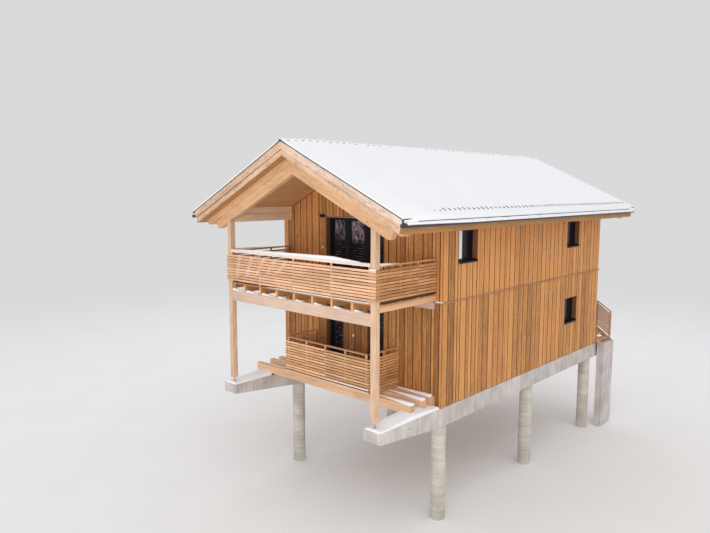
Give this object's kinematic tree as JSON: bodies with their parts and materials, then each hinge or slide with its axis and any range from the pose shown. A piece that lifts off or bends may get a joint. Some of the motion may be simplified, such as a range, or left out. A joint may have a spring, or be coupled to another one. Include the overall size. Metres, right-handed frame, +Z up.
{
  "type": "alpine chalet",
  "caption": "Timber chalet on concrete beams and columns, with a gabled roof over a slatted upper balcony and a small slatted balcony below it.",
  "frame": {"origin": "middle of the whole outline, on the lowest ground under the columns", "axes": "+Z up, -Y the way the balconied gable front faces, +X to the right seen from the front"},
  "size_m": [9.16, 15.625, 11.6045],
  "materials": {
    "concrete": "board-marked grey concrete",
    "larch_wall": "golden larch boards",
    "light_timber": "pale planed spruce",
    "floor_timber": "timber floor",
    "dark_frame": "dark painted frame",
    "glass": "clear insulating glass",
    "dark_metal": "anthracite folded sheet",
    "roof_timber": "soffit boarding",
    "door_wood": "boarded entrance door"
  },
  "bodies": {
    "house": {"concrete_beams": "concrete", "columns": "concrete", "cross_beams": "light_timber", "beam_pads": "dark_metal", "floors": "floor_timber", "left_wall": "larch_wall", "right_wall": "larch_wall", "rear_wall": "larch_wall", "front_wall_left": "larch_wall", "front_wall_right": "larch_wall", "front_wall_base": "larch_wall", "front_wall_pier": "larch_wall", "front_wall_band": "larch_wall", "front_gable": "larch_wall", "lower_door_frames": "dark_frame", "upper_door_frame": "dark_frame", "upper_door_glass": "glass", "window_frames": "dark_frame", "window_glass": "glass", "entrance_door": "door_wood", "left_roof": "roof_timber", "right_roof": "roof_timber", "roof_covering": "dark_metal", "verge_boards": "light_timber", "verge_rafters": "light_timber", "porch_rafters": "light_timber", "eaves_beams": "light_timber", "gutters": "dark_metal", "posts": "light_timber", "balcony_beams": "light_timber", "balcony_joists": "light_timber", "upper_balcony_deck": "light_timber", "upper_front_rail": "light_timber", "upper_side_rails": "light_timber", "lower_balcony_deck": "light_timber", "lower_front_rail": "light_timber", "lower_side_rails": "light_timber", "rear_landing": "light_timber", "rear_steps": "light_timber", "stair_pier": "concrete", "rear_rail": "light_timber"},
    "left_balcony_door": {"left_door": "dark_frame", "left_door_glass": "glass"},
    "right_balcony_door": {"right_door": "dark_frame", "right_door_glass": "glass"}
  },
  "joints": [
    {"name": "left_door_hinge", "type": "hinge", "parent": "house", "child": "left_balcony_door", "pos_m": [-1.272, -4.4425, 5.15], "axis": [0, 0, 1], "range_deg": [0, 90]},
    {"name": "right_door_hinge", "type": "hinge", "parent": "house", "child": "right_balcony_door", "pos_m": [1.192, -4.4425, 5.15], "axis": [0, 0, -1], "range_deg": [0, 90]}
  ]
}
